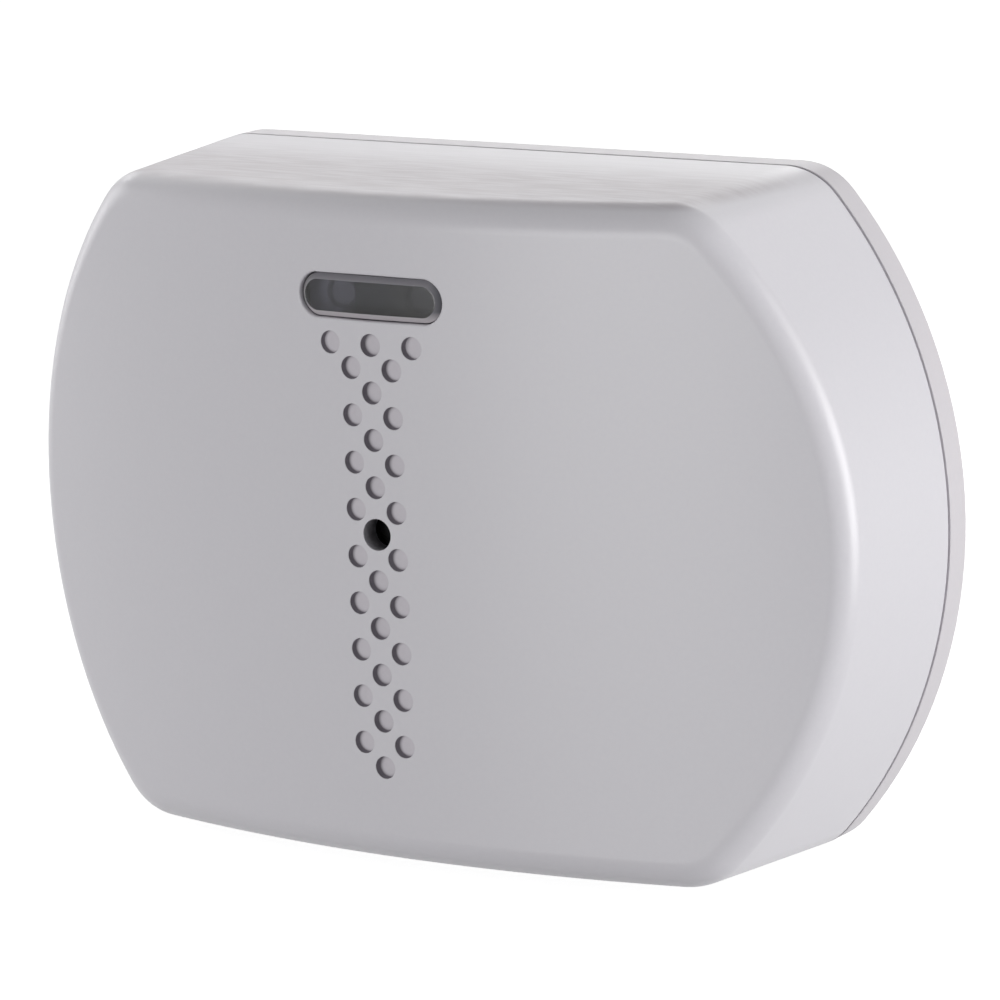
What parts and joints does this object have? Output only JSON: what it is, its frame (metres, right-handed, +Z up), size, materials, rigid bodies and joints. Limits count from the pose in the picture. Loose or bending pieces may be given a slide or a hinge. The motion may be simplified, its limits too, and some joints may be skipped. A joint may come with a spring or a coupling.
{
  "type": "glass break sensor",
  "caption": "Wall-mounted glass break sensor: rounded shell with a crowned front, dimple column, sound port and smoked lamp window over a thin rear plate.",
  "frame": {"origin": "centre of the housing's outline on the wall face of the base plate", "axes": "+X to the right as seen from the front, +Y into the wall, +Z up; the front looks along -Y"},
  "size_m": [0.1084, 0.0333, 0.076],
  "materials": {
    "housing_white": "white moulded ABS, fine satin surface",
    "smoked_window": "smoked clear acrylic, polished",
    "shroud_black": "black moulded plastic",
    "lamp_clear": "water clear epoxy",
    "lamp_amber": "tinted epoxy",
    "capsule_can": "drawn can",
    "dust_felt": "black pressed felt",
    "boot_rubber": "black moulded rubber",
    "board_green": "glass fibre laminate under green solder mask",
    "zinc_steel": "zinc plated",
    "spring_nickel": "nickel plated spring steel",
    "holder_black": "black moulded nylon",
    "cell_sleeve": "plain blue shrink sleeve over a steel can",
    "switch_black": "black moulded thermoset",
    "plunger_red": "red moulded plastic",
    "button_grey": "grey moulded plastic",
    "tinned_sheet": "tinned sheet",
    "wire_sleeve": "white insulated copper wire",
    "chip_black": "black moulding compound",
    "can_aluminium": "drawn can",
    "strip_black": "black moulded strip",
    "link_blue": "blue moulded plastic"
  },
  "bodies": {
    "housing": {"front_cover": "housing_white", "window_lens": "smoked_window", "led_shroud": "shroud_black", "alarm_led": "lamp_clear", "status_led": "lamp_amber", "microphone_capsule": "capsule_can", "microphone_felt": "dust_felt", "microphone_boot": "boot_rubber", "circuit_board": "board_green", "board_screws": "zinc_steel", "battery_holder": "holder_black", "battery_cell": "cell_sleeve", "positive_contact": "spring_nickel", "negative_contact": "spring_nickel", "tamper_switch": "switch_black", "enrol_switch": "switch_black", "radio_board": "board_green", "radio_shield": "tinned_sheet", "antenna_wire": "wire_sleeve", "microcontroller": "chip_black", "signal_amplifier": "chip_black", "clock_crystal": "can_aluminium", "voltage_regulator": "chip_black", "reservoir_capacitor": "can_aluminium", "filter_capacitor": "can_aluminium", "jumper_header": "strip_black", "jumper_link": "link_blue", "base_plate": "housing_white", "cover_screw": "zinc_steel"},
    "tamper_plunger": {"tamper_plunger": "plunger_red"},
    "enrol_button": {"enrol_button": "button_grey"}
  },
  "joints": [
    {"name": "tamper_travel", "type": "slide", "parent": "housing", "child": "tamper_plunger", "axis": [0, -1, 0], "range_m": [0, 0.0004], "stiffness_N_per_m": 500, "springref_m": -0.0008},
    {"name": "enrol_press", "type": "slide", "parent": "housing", "child": "enrol_button", "axis": [0, -1, 0], "range_m": [0, 0.00025], "stiffness_N_per_m": 1000, "springref_m": -0.0002}
  ]
}
